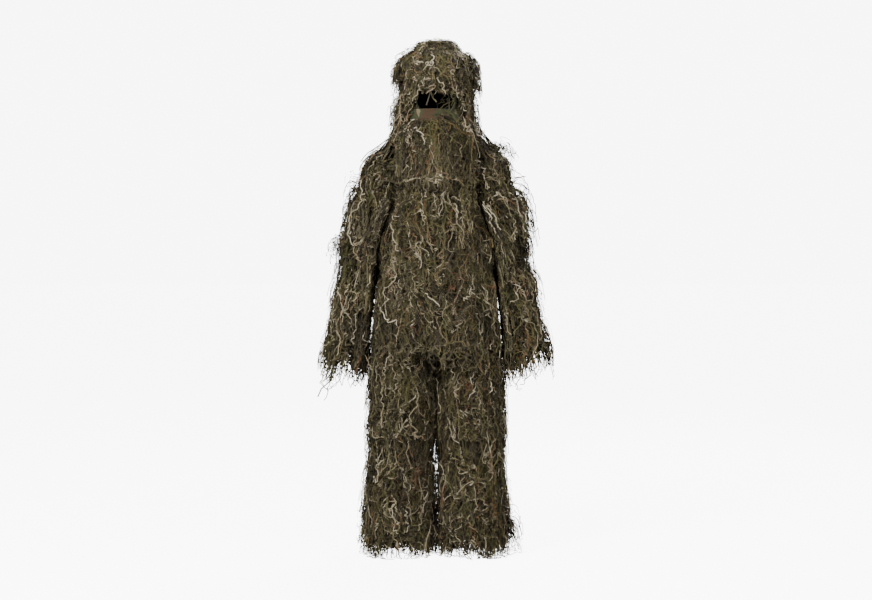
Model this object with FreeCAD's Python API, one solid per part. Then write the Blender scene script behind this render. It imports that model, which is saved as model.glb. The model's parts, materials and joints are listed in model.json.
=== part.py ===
import FreeCAD, Part
import math
import os

# Ghillie suit in its worn shape: a snap-front jacket, trousers and a hood with a face veil.
# Every garment is a thin cloth shell that carries rows of hanging yarn fringe. The cloth is
# cut at the wearer's joints, and each limb starts in a ball of cloth that turns inside the
# garment above it. A fringe row is one closed flared ring, thin where it is sewn on and
# thick at its tips.
#
# Frame: millimetres, +Z up, the wearer faces -Y, and the wearer's left is +X. The origin is
# the centre of the collar, where the jacket sits on the wearer's shoulders.

V = FreeCAD.Vector

# ---------------------------------------------------------------- driving dimensions
SEAT = 1450.0            # height of the origin above the ground
WALL = 2.2               # cloth and its seams
GAP = 0.5                # clear space between neighbouring pieces
FRINGE_GAP = 0.6         # fringe to the cloth it hangs on
OVAL_POINTS = 24         # points in one oval outline

SHOULDER_X, SHOULDER_HEIGHT = 172.0, 1335.0
SHOULDER_BALL = 66.0
ARM_TILT = 12.0          # degrees outward from straight down
ELBOW = 292.0            # from the shoulder, along the arm
CUFF = 592.0             # end of the sleeve cloth, along the arm
ELBOW_BALL = 54.0

HIP_X, HIP_HEIGHT = 106.0, 815.0
HIP_BALL = 88.0
LEG_TILT = 1.7
KNEE = 385.0             # from the hip, along the leg
LEG_HEM = 745.0
KNEE_BALL = 78.0

BALL_CLEARANCE = 3.5     # from a limb's ball to the cloth it turns in
SHOULDER_MOUTH = 25.0    # the sleeve head is open this far inside its centre
JACKET_HEM = 865.0

# Outlines are lists of levels, top first: (z, centre x, centre y, half width, half depth).


def up(height):
    """Z of a height above the ground."""
    return height - SEAT


def levels(*rows):
    """Levels of a garment that stands upright: (height, half width, half depth[, centre y])."""
    return [(up(row[0]), 0.0, row[3] if len(row) > 3 else 0.0, row[1], row[2]) for row in rows]


def round_levels(*rows):
    """Levels of a round limb in its own frame: (distance down the limb, radius)."""
    return [(-along, 0.0, 0.0, radius, radius) for along, radius in rows]


TORSO = levels(
    (1446, 84, 76), (1428, 110, 90), (1404, 140, 104), (1370, 148, 120), (1310, 132, 130),
    (1250, 123, 134), (1180, 137, 136), (1050, 164, 134), (950, 186, 142),
    (JACKET_HEM, 206, 150), (740, 210, 152),
)
SEAT_OF_TROUSERS = levels((1060, 150, 112), (950, 178, 128), (865, 197, 136), (HIP_HEIGHT, 198, 137))
HOOD = levels(
    (1766, 34, 40, 0), (1755, 66, 76, 0), (1730, 86, 100, 0), (1690, 96, 110, -4),
    (1620, 102, 118, -8), (1560, 106, 122, -10), (1502, 110, 120, -6),
)
CAPE = levels((1499, 112, 118), (1470, 126, 124), (1440, 150, 134), (1425, 156, 138))
CAPE_HEM = 1440.0
VEIL = levels((1560, 122, 138, -10), (1462, 140, 156, -10), (1330, 156, 190, -10))
VEIL_TOP, VEIL_HEM = 1557.0, 1462.0
UPPER_SLEEVE = round_levels((0, 60), (ELBOW, 58))
LOWER_SLEEVE = round_levels((0, 51), (CUFF - ELBOW, 48))
THIGH = round_levels((0, 84), (KNEE, 82))
SHIN = round_levels((0, 74), (LEG_HEM - KNEE, 90))
ARM_ROWS_ON = round_levels((0, 60), (ELBOW, 58.5), (350, 57), (CUFF, 49), (750, 44))
LEG_ROWS_ON = round_levels((0, HIP_BALL), (KNEE, 82.5), (480, 82), (LEG_HEM, 90.5), (810, 92))

# Fringe rows: (name, top, bottom, thickness at the top, thickness at the tips). Torso rows
# are heights above the ground, and limb rows are distances down the limb.
TORSO_ROWS = (
    ("jacket_yoke_fringe", 1394, 1308, 12, 32),
    ("jacket_chest_fringe", 1306, 1190, 12, 34),
    ("jacket_midriff_fringe", 1188, 1070, 12, 34),
    ("jacket_waist_fringe", 1068, 948, 12, 36),
    ("jacket_hem_fringe", 946, 747, 12, 38),
)
ARM_ROWS = (
    ("upper_arm_fringe", 74, 200, 14, 36),
    ("elbow_fringe", 202, 352, 12, 32),
    ("forearm_fringe", 354, 470, 12, 32),
    ("cuff_fringe", 472, 745, 14, 30),
)
LEG_ROWS = (
    ("hip_fringe", 72, 205, 14, 34),
    ("thigh_fringe", 207, 280, 14, 30),
    ("knee_fringe", 282, 475, 14, 34),
    ("shin_fringe", 477, 602, 14, 34),
    ("ankle_fringe", 604, 805, 14, 34),
)
SIDE_OF_TORSO_ROW = 4.0      # a torso row is thin under the arms
INNER_SIDE_OF_LIMB_ROW = 4.0  # and a limb's row is thin where it faces the body
SHOULDER_CAP = 22.0           # thickness of the fringe over a shoulder
SHOULDER_CAP_TOP = 60.0       # above the shoulder's centre, under the cape

PLACKET_HALF = 28.0           # half the slot that the torso rows leave at the front
FLAP_LEFT, FLAP_RIGHT = 24.0, -20.0
FLAP_BACK, FLAP_THICK = -141.0, 2.0
FLAP_TOP, FLAP_BOTTOM = 1306.0, 1000.0
SNAPS, SNAP_TOP, SNAP_PITCH = 4, 1285.0, 88.0
SNAP_STUD, SNAP_HOLE, SNAP_CAP = 2.6, 3.2, 7.0

FACE_HEIGHT, FACE_HALF_WIDTH, FACE_HALF_HEIGHT = 1585.0, 64.0, 58.0
BINDING = 8.0
VEIL_SNAP_STANDOFF = 1.6      # the veil flares, so its snaps stand this far off it
CUFF_BORE, CUFF_BAND = 42.0, 30.0
HEM_BORE, HEM_BAND = 84.0, 20.0
COLLAR_BORE, COLLAR_HEIGHT = 72.5, 28.0

BIG = 2000.0

# ---------------------------------------------------------------- shapes


def oval(z, cx, cy, rx, ry):
    points = []
    for i in range(OVAL_POINTS):
        a = 2 * math.pi * i / OVAL_POINTS
        points.append(V(cx + rx * math.cos(a), cy + ry * math.sin(a), z))
    curve = Part.BSplineCurve()
    curve.interpolate(Points=points, PeriodicFlag=True)
    return Part.Wire([curve.toShape()])


def solid_through(outline):
    return Part.makeLoft([oval(*level) for level in outline], True, True)


def level_at(outline, z):
    """The outline's level at any z, straight between its own levels."""
    for above, below in zip(outline, outline[1:]):
        if below[0] <= z <= above[0]:
            t = (above[0] - z) / (above[0] - below[0])
            return tuple(a + (b - a) * t for a, b in zip(above, below))
    raise ValueError(f"no level at {z}")


def part_of(outline, top, bottom):
    """The outline from z top down to z bottom."""
    between = [level for level in outline if bottom + GAP < level[0] < top - GAP]
    return [level_at(outline, top)] + between + [level_at(outline, bottom)]


def grown(outline, by):
    return [(z, cx, cy, rx + by, ry + by) for z, cx, cy, rx, ry in outline]


def run_past(outline, past=1.0):
    """The same outline with its ends moved out, so that it cuts right through."""
    first, last = outline[0], outline[-1]
    return [(first[0] + past,) + first[1:]] + outline[1:-1] + [(last[0] - past,) + last[1:]]


def cloth(outline, wall=WALL):
    """A cloth tube, open at both ends, whose outside is the outline."""
    return solid_through(outline).cut(solid_through(run_past(grown(outline, -wall))))


def box(x0, x1, y0, y1, z0, z1):
    return Part.makeBox(x1 - x0, y1 - y0, z1 - z0, V(x0, y0, z0))


def sphere(radius, centre=V(0, 0, 0)):
    return Part.makeSphere(radius, centre)


def below_plane(slope, sign=1.0):
    """Everything under the plane z = slope * y, where sign * y is above 0, out to BIG."""
    side = sign * BIG
    corners = [V(-BIG, 0, 0), V(-BIG, side, slope * side), V(-BIG, side, -BIG), V(-BIG, 0, -BIG)]
    face = Part.Face(Part.makePolygon(corners + corners[:1]))
    return face.extrude(V(2 * BIG, 0, 0))


def fringe_row(outline, top, bottom, thin, thick, inner, outer=None):
    """A fringe ring on an outline. thin and thick are its front and back at the top and at
    the tips, inner is its -X side, and outer its +X side, thick as the front if not given."""
    base = part_of(outline, top, bottom)
    outside = []
    for z, cx, cy, rx, ry in base:
        t = (top - z) / (top - bottom)
        front = thin + (thick - thin) * t
        far = front if outer is None else outer
        outside.append((z, cx + (far - inner) / 2, cy, rx + (far + inner) / 2, ry + front))
    return solid_through(outside).cut(solid_through(run_past(grown(base, FRINGE_GAP))))


# ---------------------------------------------------------------- limbs, in their own frames

arm_place = FreeCAD.Placement(
    V(SHOULDER_X, 0, up(SHOULDER_HEIGHT)), FreeCAD.Rotation(V(0, 1, 0), -ARM_TILT))
leg_place = FreeCAD.Placement(V(HIP_X, 0, up(HIP_HEIGHT)), FreeCAD.Rotation(V(0, 1, 0), -LEG_TILT))


def moved_down(shape, distance):
    copy = shape.copy()
    copy.translate(V(0, 0, -distance))
    return copy


def ball_and_tube(ball, outline, open_above):
    """A limb that starts in a ball of cloth, open at the top of the ball."""
    outside = sphere(ball).fuse(solid_through(outline))
    inside = sphere(ball - WALL).fuse(solid_through(run_past(grown(outline, -WALL))))
    top = box(-BIG, BIG, -BIG, BIG, open_above, BIG)
    return outside.cut(inside).cut(top).removeSplitter()


def mitred_end(tube, distance, bends_to):
    """Cuts a tube's lower end so that the next one can bend 90 degrees towards bends_to * Y."""
    clear = 3.0
    lower = box(-BIG, BIG, -BIG, BIG, -BIG, clear - distance)
    wedge = moved_down(below_plane(bends_to, bends_to), distance - clear)
    return tube.cut(lower).cut(wedge)


def make_upper_sleeve():
    """The sleeve head is a ball that turns in the armhole, open towards the body."""
    outside = sphere(SHOULDER_BALL).fuse(solid_through(UPPER_SLEEVE))
    inside = sphere(SHOULDER_BALL - WALL)
    inside = inside.fuse(solid_through(run_past(grown(UPPER_SLEEVE, -WALL))))
    mouth = box(-BIG, -SHOULDER_MOUTH, -BIG, BIG, -SHOULDER_MOUTH, BIG)
    sleeve = outside.cut(inside).cut(mouth)
    return mitred_end(sleeve, ELBOW, -1)


def make_shoulder_cap():
    shape = sphere(SHOULDER_BALL + SHOULDER_CAP).cut(sphere(SHOULDER_BALL + 1.0))
    keep = box(0, BIG, -BIG, BIG, -ARM_ROWS[0][1] + 2.0, SHOULDER_CAP_TOP)
    sleeve = solid_through(run_past(grown(UPPER_SLEEVE, FRINGE_GAP)))
    return shape.common(keep).cut(sleeve)


def band(outer, bore, length):
    """A round elastic or binding, its lower end at z 0."""
    return Part.makeCylinder(outer, length).cut(Part.makeCylinder(bore, length))


def make_arm():
    """{node: shape} of the left arm, in the suit's frame."""
    cuff_inside = LOWER_SLEEVE[-1][3] - WALL
    nodes = {
        "upper_sleeve": make_upper_sleeve(),
        "lower_sleeve": moved_down(ball_and_tube(ELBOW_BALL, LOWER_SLEEVE, 20.0), ELBOW),
        "cuff_elastic": moved_down(band(cuff_inside - GAP, CUFF_BORE, CUFF_BAND), CUFF),
        "shoulder_fringe": make_shoulder_cap(),
    }
    for name, top, bottom, thin, thick in ARM_ROWS:
        nodes[name] = fringe_row(
            ARM_ROWS_ON, -top, -bottom, thin, thick, INNER_SIDE_OF_LIMB_ROW, thick)
    return {name: placed(shape, arm_place) for name, shape in nodes.items()}


def make_leg():
    """{node: shape} of the left leg, in the suit's frame."""
    hem_inside = level_at(SHIN, KNEE - LEG_HEM + HEM_BAND)[3] - WALL
    thigh = mitred_end(ball_and_tube(HIP_BALL, THIGH, 40.0), KNEE, 1)
    nodes = {
        "thigh_cloth": thigh,
        "shin_cloth": moved_down(ball_and_tube(KNEE_BALL, SHIN, 30.0), KNEE),
        "hem_binding": moved_down(band(hem_inside - GAP, HEM_BORE, HEM_BAND), LEG_HEM),
    }
    for name, top, bottom, thin, thick in LEG_ROWS:
        nodes[name] = fringe_row(
            LEG_ROWS_ON, -top, -bottom, thin, thick, INNER_SIDE_OF_LIMB_ROW, thick)
    return {name: placed(shape, leg_place) for name, shape in nodes.items()}


def placed(shape, place):
    copy = shape.copy()
    copy.Placement = place.multiply(copy.Placement)
    return copy


def mirrored(shape):
    return shape.mirror(V(0, 0, 0), V(1, 0, 0))


# ---------------------------------------------------------------- jacket


def arm_clearance(radius):
    """The space that both arms and their fringe take, for the torso rows to stay clear of."""
    ball = sphere(radius)
    arm = fringe_row(ARM_ROWS_ON, 0, -CUFF, 30, 34, INNER_SIDE_OF_LIMB_ROW + 1.5, 34)
    arm = arm.fuse(solid_through(grown(part_of(ARM_ROWS_ON, 0, -CUFF), 2.0)))
    left = placed(ball.fuse(arm), arm_place)
    return left.fuse(mirrored(left))


def armholes():
    """What the jacket's cloth leaves free for both sleeve heads."""
    head = sphere(SHOULDER_BALL + BALL_CLEARANCE)
    sleeve = solid_through(grown(UPPER_SLEEVE, BALL_CLEARANCE))
    left = placed(head.fuse(sleeve), arm_place)
    return left.fuse(mirrored(left))


def make_jacket():
    body = cloth(part_of(TORSO, TORSO[0][0], up(JACKET_HEM)))
    body = body.cut(armholes())
    half = GAP / 2
    front = {"left": (half, BIG), "right": (-BIG, -half)}
    nodes = {
        f"jacket_front_{side}": body.common(box(x0, x1, -BIG, -half, -BIG, BIG))
        for side, (x0, x1) in front.items()
    }
    nodes["jacket_back"] = body.common(box(-BIG, BIG, half, BIG, -BIG, BIG))
    collar = band(COLLAR_BORE + 2.5, COLLAR_BORE, COLLAR_HEIGHT)
    collar.translate(V(0, 0, TORSO[0][0] + GAP))
    nodes["collar"] = collar
    hem = grown(part_of(TORSO, up(JACKET_HEM + HEM_BAND), up(JACKET_HEM)), -WALL - GAP)
    nodes["jacket_hem_binding"] = cloth(hem)
    return nodes


def make_jacket_rows():
    clear = arm_clearance(SHOULDER_BALL + SHOULDER_CAP + 2.0)
    slot = box(-PLACKET_HALF, PLACKET_HALF, -BIG, 0, -BIG, BIG)
    nodes = {}
    for name, top, bottom, thin, thick in TORSO_ROWS:
        side = SIDE_OF_TORSO_ROW
        row = fringe_row(TORSO, up(top), up(bottom), thin, thick, side, side)
        nodes[name] = row.cut(clear).cut(slot)
    return nodes


def snap_heights():
    return [up(SNAP_TOP - SNAP_PITCH * i) for i in range(SNAPS)]


def along_y(radius, y0, y1, z):
    return Part.makeCylinder(radius, y1 - y0, V(0, y0, z), V(0, 1, 0))


def make_placket():
    """The front flap, and its press snaps: studs on the jacket, caps on the flap."""
    flap_front = FLAP_BACK - FLAP_THICK
    flap = box(FLAP_RIGHT, FLAP_LEFT, flap_front, FLAP_BACK, up(FLAP_BOTTOM), up(FLAP_TOP))
    studs, caps = [], []
    for z in snap_heights():
        flap = flap.cut(along_y(SNAP_HOLE, flap_front - 1, FLAP_BACK + 1, z))
        cloth_y = -level_at(TORSO, z)[4] - GAP
        foot = along_y(SNAP_CAP - 1.0, FLAP_BACK + 0.8, cloth_y, z)
        studs.append(foot.fuse(along_y(SNAP_STUD, flap_front, cloth_y, z)))
        cap = along_y(SNAP_CAP, flap_front - 2.4, flap_front, z)
        caps.append(cap.cut(along_y(SNAP_HOLE, flap_front - 0.8, flap_front + 1, z)))
    return {
        "placket_flap": flap,
        "snap_studs": Part.makeCompound(studs),
        "snap_caps": Part.makeCompound(caps),
    }


# ---------------------------------------------------------------- trousers


def make_trousers():
    outline = run_past(SEAT_OF_TROUSERS, 0)
    seat = cloth(outline)
    flexion_cut = below_plane(-0.62, -1)
    flexion_cut.translate(V(0, 0, up(HIP_HEIGHT)))
    seat = seat.cut(flexion_cut)
    waist = grown(part_of(outline, outline[0][0], up(1025)), -WALL - GAP)
    row = fringe_row(outline, up(1045), up(905), 4, 6, 4, 4)
    return {
        "trouser_seat": seat,
        "waist_elastic": cloth(waist, 3.2),
        "trouser_gusset": make_gusset(),
        "trouser_seat_fringe": row,
    }


def make_gusset():
    """The strip of cloth between the legs, hanging in a curve from front to back."""
    half_width, depth, drop = 12.0, 104.0, 66.0
    centre = V(0, 0, up(HIP_HEIGHT) - GAP)

    def half_oval(by):
        ring = Part.Ellipse(centre, depth + by, drop + by).toShape()
        face = Part.Face(Part.Wire([ring]))
        face.rotate(centre, V(1, 0, 0), 90)
        face.rotate(centre, V(0, 0, 1), 90)
        face.translate(V(-half_width, 0, 0))
        return face.extrude(V(2 * half_width, 0, 0))

    ring = half_oval(0).cut(half_oval(-WALL))
    return ring.cut(box(-BIG, BIG, -BIG, BIG, centre.z, BIG))


# ---------------------------------------------------------------- hood


def face_prism(by):
    """The face opening's oval, from the hood's middle out through its front."""
    across = FACE_HALF_WIDTH + by
    tall = FACE_HALF_HEIGHT + by
    ring = Part.Ellipse(V(0, 0, 0), across, tall).toShape()
    face = Part.Face(Part.Wire([ring]))
    face.rotate(V(0, 0, 0), V(1, 0, 0), 90)
    face.translate(V(0, 0, up(FACE_HEIGHT)))
    return face.extrude(V(0, -BIG, 0))


def make_hood():
    crown = HOOD[0][0]
    inner = grown(HOOD, -WALL)
    inner[0] = (crown - WALL,) + inner[0][1:]
    inner[-1] = (inner[-1][0] - 1.0,) + inner[-1][1:]
    shell = solid_through(HOOD).cut(solid_through(inner)).cut(face_prism(0))

    ring = solid_through(grown(HOOD, 3.0)).cut(solid_through(run_past(grown(HOOD, GAP), 5)))
    binding = ring.common(face_prism(BINDING).cut(face_prism(0)))

    top = part_of(HOOD, crown, up(1702))
    outside = grown(top, 22)
    outside = [(crown + 26, 0, 0, 40, 46), (crown + 18, 0, 0, 72, 80)] + outside[1:]
    under = run_past(grown(top, FRINGE_GAP), FRINGE_GAP)
    crown_row = solid_through(outside).cut(solid_through(under))

    brim_row = fringe_row(HOOD, up(1700), up(1650), 22, 42, 40, 40)
    brim_row = brim_row.cut(face_prism(BINDING + GAP))
    side_row = fringe_row(HOOD, up(1648), up(1503), 16, 30, 30, 30)
    side_row = side_row.cut(face_prism(BINDING + GAP))
    before_veil = box(-112, 112, -BIG, 0, -BIG, up(VEIL_TOP + 8))
    side_row = side_row.cut(before_veil)
    return {
        "hood_shell": shell,
        "face_binding": binding,
        "hood_crown_fringe": crown_row,
        "hood_brim_fringe": brim_row,
        "hood_side_fringe": side_row,
    }


def make_veil():
    """Cloth below the eyes, hung from its top edge, with a fringe over its face."""
    half = 96.0
    front = box(-half, half, -BIG, -40, -BIG, BIG)
    veil = cloth(part_of(VEIL, up(VEIL_TOP), up(VEIL_HEM))).common(front)
    row = fringe_row(VEIL, up(1530), up(1340), 8, 20, 8, 8)
    row = row.common(box(-half + 10, half - 10, -BIG, -40, -BIG, BIG))
    snaps = []
    for x in (-80.0, 80.0):
        z = up(VEIL_TOP - 12)
        level = level_at(VEIL, z)
        y = level[2] - level[4] * math.sqrt(1 - (x / level[3]) ** 2)
        outward = V(x / level[3] ** 2, (y - level[2]) / level[4] ** 2, 0).normalize()
        foot = V(x, y, z) + outward * VEIL_SNAP_STANDOFF
        snaps.append(Part.makeCylinder(5.0, 2.4, foot, outward))
    return {"face_veil": veil, "veil_fringe": row, "veil_snaps": Part.makeCompound(snaps)}


def make_cape():
    cape = cloth(part_of(CAPE, CAPE[0][0], up(CAPE_HEM)))
    row = fringe_row(CAPE, up(1492), up(1432), 8, 14, 12, 12)
    return {"hood_cape": cape, "cape_fringe": row}


# ---------------------------------------------------------------- the whole suit


def make_all():
    nodes = {}
    for made in (make_jacket(), make_jacket_rows(), make_placket(), make_trousers(), make_hood(),
                 make_veil(), make_cape()):
        nodes.update(made)
    for limb in (make_arm(), make_leg()):
        for name, shape in limb.items():
            nodes[f"left_{name}"] = shape
            nodes[f"right_{name}"] = mirrored(shape)
    return nodes


os.makedirs("parts", exist_ok=True)
for node, shape in make_all().items():
    solids = shape.Solids
    if not solids or not all(s.isValid() and s.Volume > 0 for s in solids):
        raise SystemExit(f"{node} isn't valid solids")
    shape = solids[0] if len(solids) == 1 else Part.makeCompound(solids)
    shape.exportStep(f"parts/{node}.step")
    print(f"{node}: {len(solids)} solid(s), {sum(s.Volume for s in solids) / 1000:.0f} cm3")
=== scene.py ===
"""Looks of the ghillie suit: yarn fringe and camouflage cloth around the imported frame.

Lengths are in metres. Each yarn is marched down from a sewing line: it leaves the cloth,
turns down under gravity and slides over the garments' forms, which are measured on the
CAD cloth when the script starts.
"""

import json
import math

import bmesh
import bpy
import numpy as np
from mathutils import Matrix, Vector
from mathutils.bvhtree import BVHTree


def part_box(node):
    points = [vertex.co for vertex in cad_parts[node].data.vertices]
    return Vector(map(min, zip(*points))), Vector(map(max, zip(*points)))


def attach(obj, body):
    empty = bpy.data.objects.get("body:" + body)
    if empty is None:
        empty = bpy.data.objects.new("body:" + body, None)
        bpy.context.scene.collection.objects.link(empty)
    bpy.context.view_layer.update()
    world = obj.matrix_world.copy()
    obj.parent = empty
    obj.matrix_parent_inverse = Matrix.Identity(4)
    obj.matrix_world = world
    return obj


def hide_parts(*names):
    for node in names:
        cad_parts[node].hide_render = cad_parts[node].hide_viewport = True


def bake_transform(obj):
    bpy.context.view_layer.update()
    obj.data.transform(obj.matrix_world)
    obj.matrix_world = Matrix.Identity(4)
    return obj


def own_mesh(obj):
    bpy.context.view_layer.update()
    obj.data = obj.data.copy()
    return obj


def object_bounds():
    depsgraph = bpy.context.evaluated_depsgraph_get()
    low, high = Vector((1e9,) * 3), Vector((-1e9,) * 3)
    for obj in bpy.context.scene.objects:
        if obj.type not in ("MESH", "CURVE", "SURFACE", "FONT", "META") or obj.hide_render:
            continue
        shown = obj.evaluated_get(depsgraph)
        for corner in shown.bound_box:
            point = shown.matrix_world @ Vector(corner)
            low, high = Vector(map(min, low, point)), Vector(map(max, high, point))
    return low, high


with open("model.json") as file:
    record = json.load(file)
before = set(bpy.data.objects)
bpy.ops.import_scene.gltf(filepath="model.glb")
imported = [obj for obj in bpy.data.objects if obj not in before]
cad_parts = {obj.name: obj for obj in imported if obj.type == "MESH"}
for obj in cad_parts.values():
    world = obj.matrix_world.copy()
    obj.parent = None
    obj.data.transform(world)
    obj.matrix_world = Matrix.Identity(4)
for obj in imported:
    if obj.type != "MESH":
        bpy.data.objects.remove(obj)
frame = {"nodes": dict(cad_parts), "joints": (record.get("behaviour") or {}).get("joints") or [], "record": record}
cad_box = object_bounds()

DOWN = np.array((0.0, 0.0, -1.0))
PROUD = 0.012                # how far yarn may stand outside the CAD box
FLOOR = cad_box[0][2]

joints = {j["name"]: j for j in frame["joints"]}
mounts = {m["name"]: m for m in frame["record"]["mounts"]}


def joint_at(name):
    return np.array(joints[name]["pos_m"], float)


# ---------------------------------------------------------------- forms


class Form:
    """A garment's outside: ovals across a straight axis, measured on its CAD cloth."""

    RAYS = 36
    FAR = 0.6

    def __init__(self, nodes, start, end, first=0.0, last=None, reach=0.0, levels=16, top=None,
                 open_end=False):
        """The axis runs from start to end. Ovals are measured from first to last along it.
        The form starts at top, if given, and goes on for reach past last. Yarn hangs free
        under an open end."""
        self.open_end = open_end
        self.start = np.array(start, float)
        way = np.array(end, float) - self.start
        length = np.linalg.norm(way)
        self.down = way / length
        side = np.array((1.0, 0.0, 0.0))
        side = side - self.down * (side @ self.down)
        self.side = side / np.linalg.norm(side)
        self.back = np.array((0.0, 1.0, 0.0))
        self.first = first
        self.last = length if last is None else last
        self.end = self.last + reach
        self._measure(nodes, levels)
        self.top = self.along[0] if top is None else top

    def _measure(self, nodes, levels):
        points, faces = [], []
        for name in nodes:
            mesh = frame["nodes"][name].data
            base = len(points)
            points += [v.co.copy() for v in mesh.vertices]
            faces += [[base + i for i in p.vertices] for p in mesh.polygons]
        tree = BVHTree.FromPolygons(points, faces)
        rows = []
        for along in np.linspace(self.first, self.last, levels):
            centre = self.start + self.down * along
            found = []
            for k in range(self.RAYS):
                a = 2 * math.pi * (k + 0.5) / self.RAYS
                out = self.side * math.cos(a) + self.back * math.sin(a)
                hit = tree.ray_cast(Vector(centre + out * self.FAR), Vector(-out), self.FAR)
                if hit[0] is not None and hit[3] < self.FAR - 0.02:
                    radius = self.FAR - hit[3]
                    found.append((radius * math.cos(a), radius * math.sin(a)))
            if len(found) >= 8:
                rows.append((along,) + self._oval(np.array(found)))
        if len(rows) < 2:
            raise SystemExit(f"no form found on {nodes}")
        self.along, self.rx, self.ry, self.cy = (np.array(c) for c in zip(*rows))

    @staticmethod
    def _oval(p):
        """(half width, half depth, centre's y) of the oval through points."""
        keep = np.ones(len(p), bool)
        for _ in range(3):
            m = np.stack((p[:, 0] ** 2, p[:, 1] ** 2, p[:, 1]), 1)
            a, b, c = np.linalg.lstsq(m[keep], np.ones(keep.sum()), rcond=None)[0]
            miss = np.abs(m @ (a, b, c) - 1)
            keep = miss <= max(0.05, 2 * np.median(miss))
        k = 1 + c * c / (4 * b)
        return math.sqrt(k / a), math.sqrt(k / b), -c / (2 * b)

    def oval_at(self, along):
        return (np.interp(along, self.along, self.rx), np.interp(along, self.along, self.ry),
                np.interp(along, self.along, self.cy))

    def point(self, along, angle, out=0.0):
        """Points on the form; angle 0 is its +X side, and -pi/2 its front."""
        rx, ry, cy = self.oval_at(along)
        x = (rx + out) * np.cos(angle)
        y = (ry + out) * np.sin(angle) + cy
        return (self.start + along[..., None] * self.down + x[..., None] * self.side
                + y[..., None] * self.back)

    def outward(self, along, angle):
        rx, ry, _ = self.oval_at(along)
        n = (np.cos(angle) / rx)[..., None] * self.side + (np.sin(angle) / ry)[..., None] * self.back
        return n / np.linalg.norm(n, axis=-1, keepdims=True)

    def girth(self, along):
        rx, ry, _ = self.oval_at(along)
        return 2 * math.pi * math.sqrt((rx * rx + ry * ry) / 2)

    def distance(self, p):
        """Signed distance of points from the form, and its outward directions."""
        local = p - self.start
        along = local @ self.down
        x = local @ self.side
        y = local @ self.back
        rx, ry, cy = self.oval_at(along)
        ex, ey = x / rx, (y - cy) / ry
        q = np.sqrt(ex * ex + ey * ey) + 1e-9
        slope = np.sqrt((ex / rx) ** 2 + (ey / ry) ** 2) + 1e-9
        flat = (q - 1) * q / slope
        flat_way = ((ex / rx / slope)[:, None] * self.side + (ey / ry / slope)[:, None] * self.back)
        above = self.top - along
        below = along - self.end
        past = np.maximum(above, below)
        past_way = np.where((above > below)[:, None], -self.down, self.down)
        both = np.sqrt(np.maximum(flat, 0) ** 2 + np.maximum(past, 0) ** 2)
        d = both + np.minimum(np.maximum(flat, past), 0)
        a = np.where(past > 0, np.maximum(flat, 0), flat * 0 + 1)[:, None]
        b = np.where(past > 0, past, 0)[:, None]
        way = flat_way * a + past_way * b
        return d, way / (np.linalg.norm(way, axis=1, keepdims=True) + 1e-9)


class Ball:
    """The round head of a sleeve."""

    open_end = False

    def __init__(self, centre, radius):
        self.centre, self.radius = np.array(centre, float), radius

    def distance(self, p):
        out = p - self.centre
        r = np.linalg.norm(out, axis=1)
        return r - self.radius, out / (r[:, None] + 1e-9)


def limb_forms(side):
    shoulder, elbow = joint_at(f"{side}_arm_raise"), joint_at(f"{side}_elbow_bend")
    cuff = np.array(mounts[f"{side}_cuff_bore"]["pos_m"], float)
    hip, knee = joint_at(f"{side}_hip_bend"), joint_at(f"{side}_knee_bend")
    hem = np.array(mounts[f"{side}_hem_bore"]["pos_m"], float)
    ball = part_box(f"{side}_upper_sleeve")
    return {
        "upper_arm": Form([f"{side}_upper_sleeve"], shoulder, elbow, 0.075, 0.235, 0.06, top=0.02),
        "forearm": Form([f"{side}_lower_sleeve"], elbow, cuff, 0.06, None, 0.16, top=-0.01,
                        open_end=True),
        "shoulder": Ball(shoulder, (ball[1].y - ball[0].y) / 2),
        "thigh": Form([f"{side}_thigh_cloth"], hip, knee, 0.0, 0.28, 0.11),
        "shin": Form([f"{side}_shin_cloth"], knee, hem, 0.09, None, 0.12, top=-0.01,
                     open_end=True),
    }


EDGE = 0.004                 # how far from a cloth's edge its oval is first measured


def upright(nodes, reach=0.0, levels=16, last=None, open_end=False):
    """A form round the body's axis, measured on nodes from the last one's top to its bottom,
    or to last below its top."""
    low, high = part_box(nodes[-1])
    if last is None:
        last = high.z - low.z - EDGE
    return Form(nodes, (0, 0, high.z), (0, 0, low.z), EDGE, last, reach, levels, open_end=open_end)


torso = upright(["jacket_front_left", "jacket_front_right", "jacket_back"], 0.12, 24, open_end=True)
hood = upright(["hood_shell"], levels=20)
cape = upright(["hood_cape"])
limbs = {side: limb_forms(side) for side in ("left", "right")}
shoulders = [limbs[s][k] for s in limbs for k in ("shoulder", "upper_arm")]

# ---------------------------------------------------------------- materials


def new_material(name, values):
    material = bpy.data.materials.new(name)
    material.use_nodes = True
    tree = material.node_tree
    shader = tree.nodes["Principled BSDF"]
    set_inputs(shader, values)
    return material, tree, shader


def set_inputs(node, values):
    for key, value in values.items():
        node.inputs[key].default_value = value


def add(tree, kind, inputs=None, **settings):
    """A new node with these settings and input values."""
    node = tree.nodes.new(kind)
    for key, value in settings.items():
        setattr(node, key, value)
    set_inputs(node, inputs or {})
    return node


def position(tree):
    return add(tree, "ShaderNodeNewGeometry").outputs["Position"]


def texture(tree, kind, place, inputs, **settings):
    """The value of a noise or wave texture at a place."""
    node = add(tree, kind, inputs, **settings)
    tree.links.new(place, node.inputs["Vector"])
    return node.outputs["Fac"]


def ramp(tree, factor, stops):
    """A colour ramp's colour for a factor."""
    node = tree.nodes.new("ShaderNodeValToRGB")
    elements = node.color_ramp.elements
    while len(elements) < len(stops):
        elements.new(0.5)
    for element, (place, colour) in zip(elements, stops):
        element.position = place
        element.color = (*colour, 1.0)
    tree.links.new(factor, node.inputs["Fac"])
    return node.outputs["Color"]


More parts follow.
